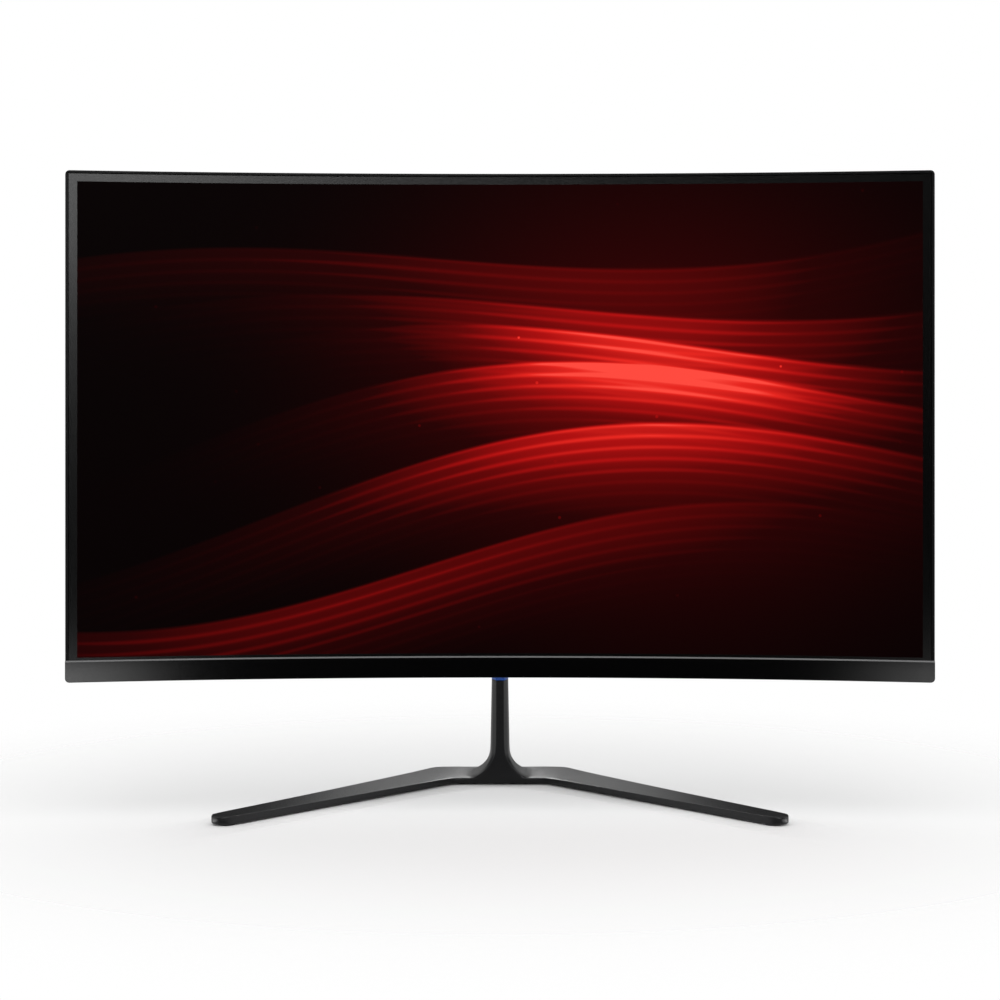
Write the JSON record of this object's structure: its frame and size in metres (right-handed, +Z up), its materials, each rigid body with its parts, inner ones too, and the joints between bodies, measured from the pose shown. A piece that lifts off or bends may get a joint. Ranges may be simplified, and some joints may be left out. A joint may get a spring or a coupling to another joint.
{
  "type": "computer monitor",
  "caption": "Curved widescreen desktop monitor with a thin rim, a low chin bezel and a tilting head on a slim flared neck and a V-shaped base.",
  "frame": {"origin": "on the desk, below the middle of the whole object", "axes": "+X to the viewer's right along the screen's width, the screen faces -Y, +Z up"},
  "size_m": [0.612, 0.2333, 0.457],
  "materials": {
    "moulded_black": "fine matt texture",
    "gloss_black": "gloss",
    "stand_black": "satin",
    "collar_blue": "satin",
    "panel_glass": "anti-glare",
    "film_white": "matt",
    "guide_clear": "clear",
    "sheet_steel": "galvanised",
    "dark_steel": "blackened",
    "board_green": "solder resist",
    "switch_black": "satin",
    "rubber": "matt",
    "cable_grey": "satin"
  },
  "bodies": {
    "stand": {"stand_base": "stand_black", "neck_collar": "collar_blue", "neck_arm": "stand_black", "neck_tongue": "sheet_steel", "neck_screw_lower": "dark_steel", "neck_screw_upper": "dark_steel", "foot_pad_left_tip": "rubber", "foot_pad_left_leg": "rubber", "foot_pad_left_hub": "rubber", "foot_pad_right_tip": "rubber", "foot_pad_right_leg": "rubber", "foot_pad_right_hub": "rubber"},
    "head": {"hinge_bracket": "dark_steel", "hinge_pin": "dark_steel", "hinge_washer_left": "sheet_steel", "hinge_washer_right": "sheet_steel", "hinge_spring_washer": "sheet_steel", "hinge_nut": "dark_steel", "hinge_cover": "moulded_black", "hinge_screw_1": "dark_steel", "hinge_screw_2": "dark_steel", "hinge_screw_3": "dark_steel", "hinge_screw_4": "dark_steel", "front_frame": "moulded_black", "chin_bezel": "gloss_black", "lcd_panel": "panel_glass", "film_stack": "film_white", "light_guide": "guide_clear", "reflector_sheet": "film_white", "led_bar": "board_green", "backlight_chassis": "sheet_steel", "panel_driver_board": "board_green", "panel_cable": "cable_grey", "board_shield": "sheet_steel", "main_board": "board_green", "hdmi_port_1": "sheet_steel", "hdmi_port_2": "sheet_steel", "display_port": "sheet_steel", "audio_jack": "switch_black", "dc_jack": "switch_black", "mount_plate": "sheet_steel", "vesa_insert_1": "sheet_steel", "vesa_insert_2": "sheet_steel", "vesa_insert_3": "sheet_steel", "vesa_insert_4": "sheet_steel", "rear_cover": "moulded_black", "cover_screw_1": "dark_steel", "cover_screw_2": "dark_steel", "cover_screw_3": "dark_steel", "cover_screw_4": "dark_steel", "control_board": "board_green", "power_switch": "switch_black", "joystick_housing": "switch_black", "control_cable": "cable_grey"},
    "power_button": {"power_button": "switch_black"},
    "joystick_yoke": {"joystick_yoke": "switch_black"},
    "joystick_stem": {"joystick_stem": "switch_black"},
    "joystick_cap": {"joystick_cap": "switch_black"}
  },
  "joints": [
    {"name": "head_tilt", "type": "hinge", "parent": "stand", "child": "head", "pos_m": [0, 0.0136, 0.192], "axis": [-1, 0, 0], "range_deg": [-5, 20]},
    {"name": "power_button_press", "type": "slide", "parent": "head", "child": "power_button", "axis": [-0.1734, -0.9848, 0], "range_m": [0, 0.0006], "stiffness_N_per_m": 2500},
    {"name": "joystick_up_down", "type": "hinge", "parent": "head", "child": "joystick_yoke", "pos_m": [0.24865, -0.06011, 0.1422], "axis": [0.9848, -0.1734, 0], "range_deg": [-8, 8], "stiffness_Nm_per_rad": 0.05},
    {"name": "joystick_left_right", "type": "hinge", "parent": "joystick_yoke", "child": "joystick_stem", "pos_m": [0.24865, -0.06011, 0.1422], "axis": [0, 0, 1], "range_deg": [-8, 8], "stiffness_Nm_per_rad": 0.05},
    {"name": "joystick_press", "type": "slide", "parent": "joystick_stem", "child": "joystick_cap", "axis": [-0.1734, -0.9848, 0], "range_m": [0, 0.0004], "stiffness_N_per_m": 2500}
  ]
}
